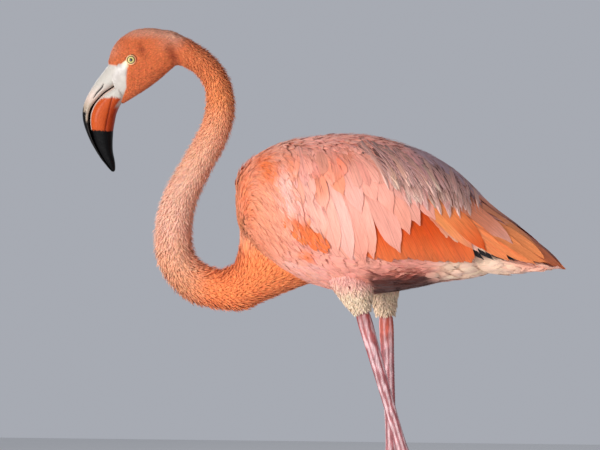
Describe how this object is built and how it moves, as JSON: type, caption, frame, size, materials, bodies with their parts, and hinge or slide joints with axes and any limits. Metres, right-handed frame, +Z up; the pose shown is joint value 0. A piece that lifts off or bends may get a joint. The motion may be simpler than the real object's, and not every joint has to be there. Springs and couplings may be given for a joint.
{
  "type": "flamingo",
  "caption": "Life-size still flamingo standing on webbed feet, its long neck in an S, its head low and its bent bill pointing down.",
  "frame": {"origin": "on the floor, under the middle of the bird's box, between and just behind the middle of its feet", "axes": "+Z up, -X the way the bird faces, -Y its left side"},
  "size_m": [0.598, 0.2036, 0.849],
  "materials": {
    "head_plumage": "short velvety feathers",
    "neck_plumage": "short dense feathers",
    "body_plumage": "soft contour feathers",
    "wing_plumage": "smooth wing feathers, pink with orange",
    "tail_plumage": "cream-pink coverts",
    "thigh_plumage": "cream down",
    "leg_skin": "scaled skin, satin",
    "bill_upper": "horn, ivory with a black tip",
    "bill_lower": "horn, orange with a black tip",
    "claw": "dark horn",
    "eye": "wet, pale yellow iris"
  },
  "bodies": {
    "root": {"wing_left": "wing_plumage", "wing_right": "wing_plumage", "trunk": "body_plumage", "tail": "tail_plumage", "neck_base": "neck_plumage", "neck_lower": "neck_plumage", "neck_middle": "neck_plumage", "neck_upper": "neck_plumage", "neck_nape": "neck_plumage", "head": "head_plumage", "eye_left": "eye", "eye_right": "eye", "bill_upper": "bill_upper", "bill_lower": "bill_lower", "thigh_left": "thigh_plumage", "shank_left": "leg_skin", "ankle_left": "leg_skin", "tarsus_left": "leg_skin", "foot_left": "leg_skin", "claw_left_inner": "claw", "claw_left_middle": "claw", "claw_left_outer": "claw", "thigh_right": "thigh_plumage", "shank_right": "leg_skin", "ankle_right": "leg_skin", "tarsus_right": "leg_skin", "foot_right": "leg_skin", "claw_right_inner": "claw", "claw_right_middle": "claw", "claw_right_outer": "claw"}
  },
  "joints": []
}
